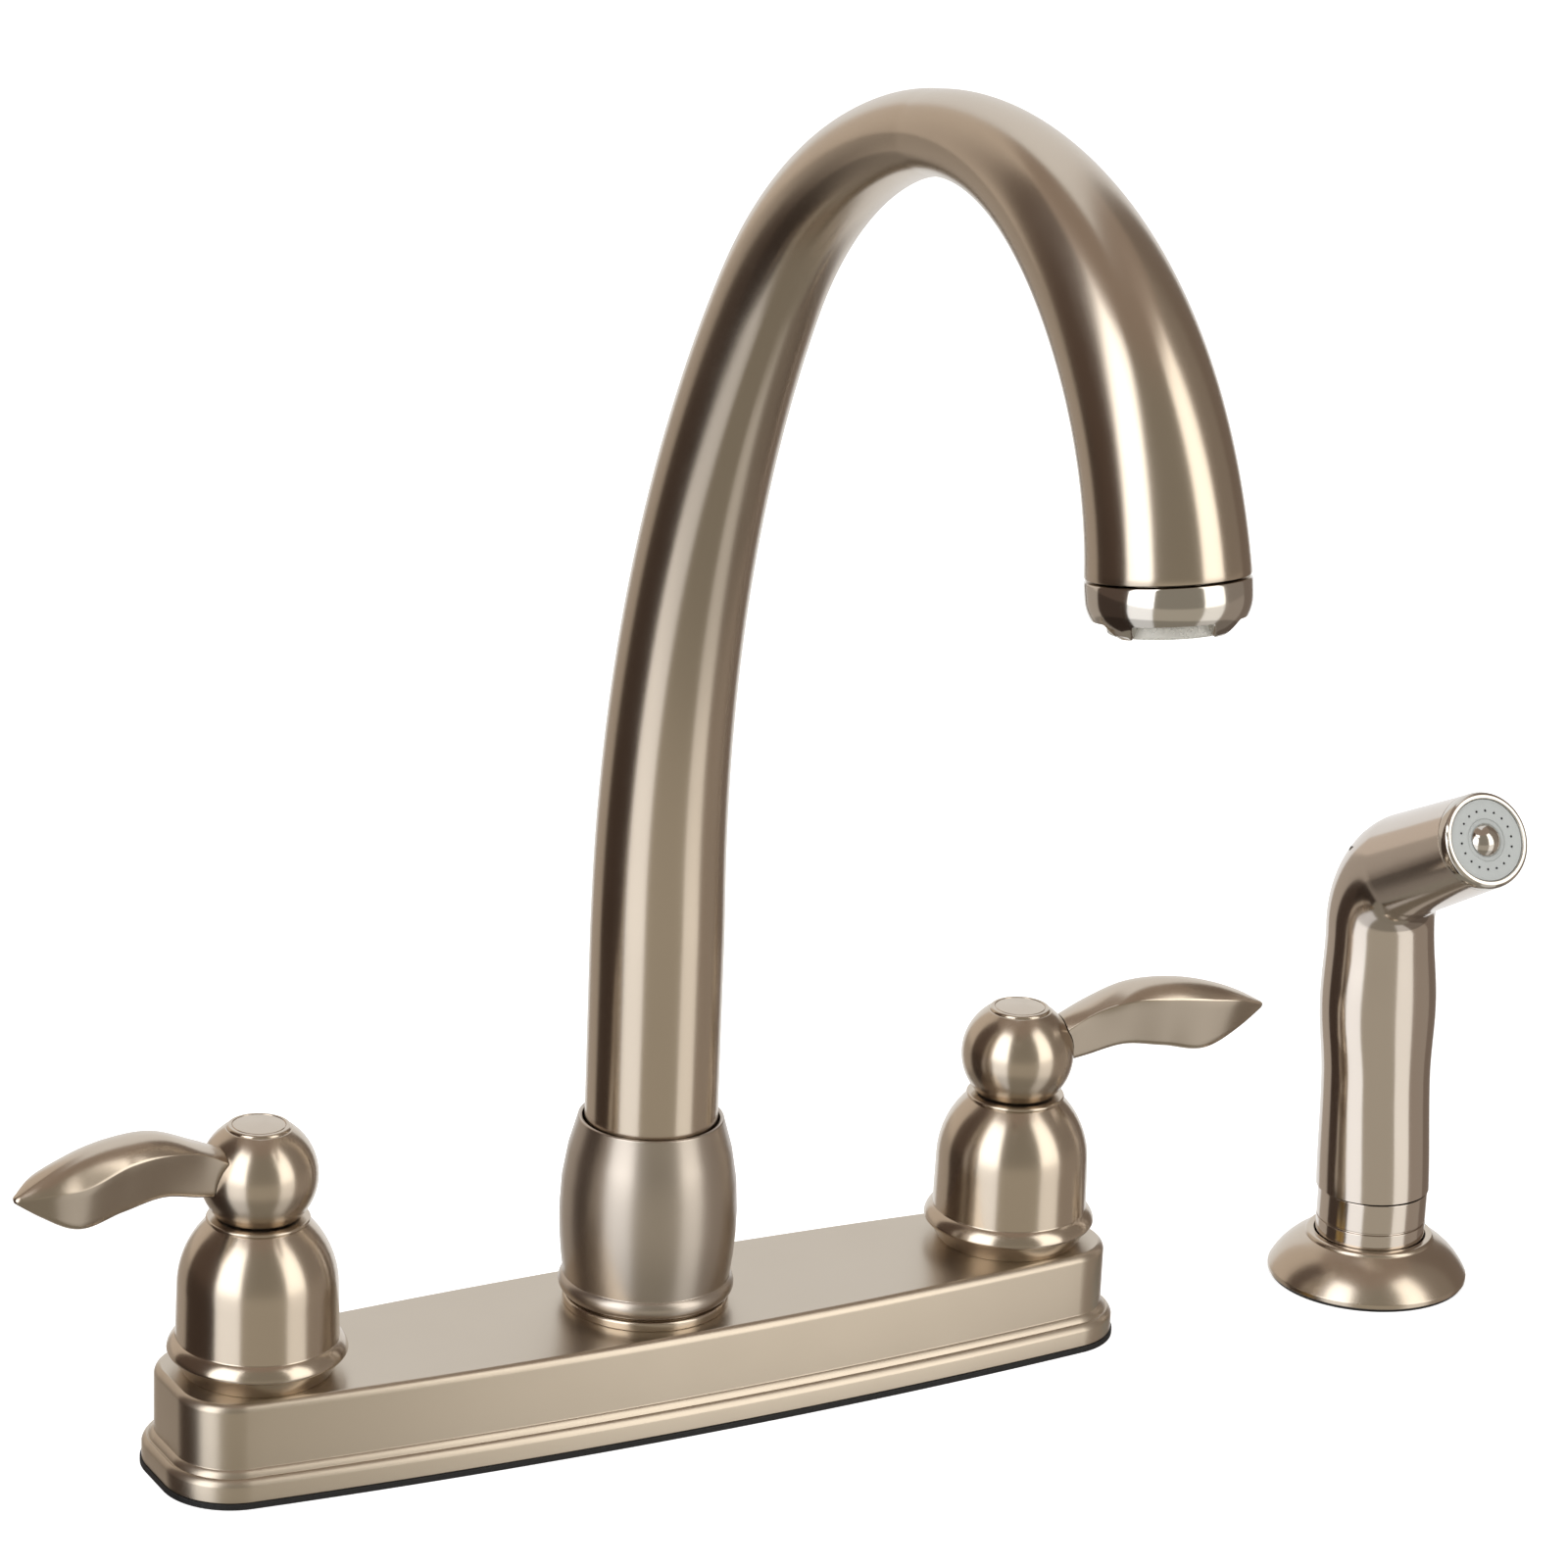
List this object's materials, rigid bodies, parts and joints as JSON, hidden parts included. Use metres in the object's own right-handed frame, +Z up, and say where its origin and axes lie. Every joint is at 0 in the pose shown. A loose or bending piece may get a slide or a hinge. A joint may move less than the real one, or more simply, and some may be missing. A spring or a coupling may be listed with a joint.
{
  "type": "side spray kitchen faucet",
  "caption": "Deck faucet: lever handles on bell bases, a tall swivelling gooseneck spout on an oblong plate, and a hand spray in its own holder.",
  "frame": {"origin": "under the middle of the deck plate, on the sink deck (underside of the gasket)", "axes": "+Z up; +X towards the cold handle and the hand spray; the spout reaches towards -Y at rest"},
  "size_m": [0.3969, 0.2569, 0.3904],
  "materials": {
    "satin_nickel": "satin nickel plating, finely brushed",
    "plate_nickel": "satin nickel plating, slightly matter",
    "brass": "bare cast and turned brass",
    "black_rubber": "black rubber",
    "ceramic": "white ceramic, ground flat",
    "white_acetal": "white acetal",
    "steel": "stainless steel",
    "chrome": "polished chrome",
    "clear_insert": "translucent white plastic",
    "spray_shell": "plastic with satin nickel plating",
    "grey_plastic": "light grey plastic"
  },
  "bodies": {
    "base": {"deck_plate": "plate_nickel", "deck_gasket": "black_rubber", "waterway": "brass", "shank_washers": "steel", "shank_nuts": "brass", "spout_base_ring": "satin_nickel", "spout_collar": "satin_nickel", "spout_hub": "brass", "hub_o_rings": "black_rubber", "glide_washer": "white_acetal", "spout_clip": "steel", "spray_outlet": "brass", "diverter_body": "white_acetal", "diverter_spring": "steel", "spray_holder": "spray_shell", "holder_tube": "white_acetal", "holder_gasket": "black_rubber", "holder_nut": "white_acetal", "hot_valve_body": "brass", "hot_cartridge": "white_acetal", "hot_fixed_disc": "ceramic", "hot_bonnet_nut": "brass", "hot_bell": "satin_nickel", "cold_valve_body": "brass", "cold_cartridge": "white_acetal", "cold_fixed_disc": "ceramic", "cold_bonnet_nut": "brass", "cold_bell": "satin_nickel"},
    "hot_handle": {"hot_handle_hub": "satin_nickel", "hot_lever": "satin_nickel", "hot_index_cap": "satin_nickel", "hot_handle_screw": "steel", "hot_stem": "brass", "hot_moving_disc": "ceramic"},
    "cold_handle": {"cold_handle_hub": "satin_nickel", "cold_lever": "satin_nickel", "cold_index_cap": "satin_nickel", "cold_handle_screw": "steel", "cold_stem": "brass", "cold_moving_disc": "ceramic"},
    "spout": {"spout_tube": "satin_nickel", "spout_bushing": "white_acetal", "aerator_housing": "chrome", "aerator_insert": "clear_insert", "aerator_washer": "black_rubber"},
    "diverter": {"diverter_piston": "white_acetal"},
    "spray": {"spray_body": "spray_shell", "spray_coupling": "spray_shell", "spray_bezel": "chrome", "spray_face": "grey_plastic", "spray_dome": "chrome", "trigger_pin": "steel", "trigger_spring": "steel"},
    "trigger": {"spray_trigger": "spray_shell"},
    "plunger": {"spray_plunger": "white_acetal"}
  },
  "joints": [
    {"name": "hot_handle_turn", "type": "hinge", "parent": "base", "child": "hot_handle", "pos_m": [-0.1016, 0, 0.0737], "axis": [0, 0, 1], "range_deg": [0, 90]},
    {"name": "cold_handle_turn", "type": "hinge", "parent": "base", "child": "cold_handle", "pos_m": [0.1016, 0, 0.0737], "axis": [0, 0, 1], "range_deg": [-90, 0]},
    {"name": "spout_swivel", "type": "hinge", "parent": "base", "child": "spout", "pos_m": [0, 0, 0.05], "axis": [0, 0, 1], "continuous": true},
    {"name": "diverter_slide", "type": "slide", "parent": "base", "child": "diverter", "axis": [0, 0, -1], "range_m": [0, 0.003], "stiffness_N_per_m": 100, "deforming": ["diverter_spring"]},
    {"name": "spray_lift", "type": "slide", "parent": "base", "child": "spray", "axis": [0, 0, 1], "range_m": [0, 0.06]},
    {"name": "trigger_press", "type": "hinge", "parent": "spray", "child": "trigger", "pos_m": [0.206, -0.0026, 0.11517], "axis": [-1, 0, 0], "range_deg": [0, 7], "stiffness_Nm_per_rad": 0.5},
    {"name": "plunger_slide", "type": "slide", "parent": "spray", "child": "plunger", "axis": [0, -1, 0], "range_m": [0, 0.0031]}
  ],
  "couplings": [
    {"joint": "plunger_slide", "follows": "trigger_press", "m_per_rad": 0.0253}
  ]
}
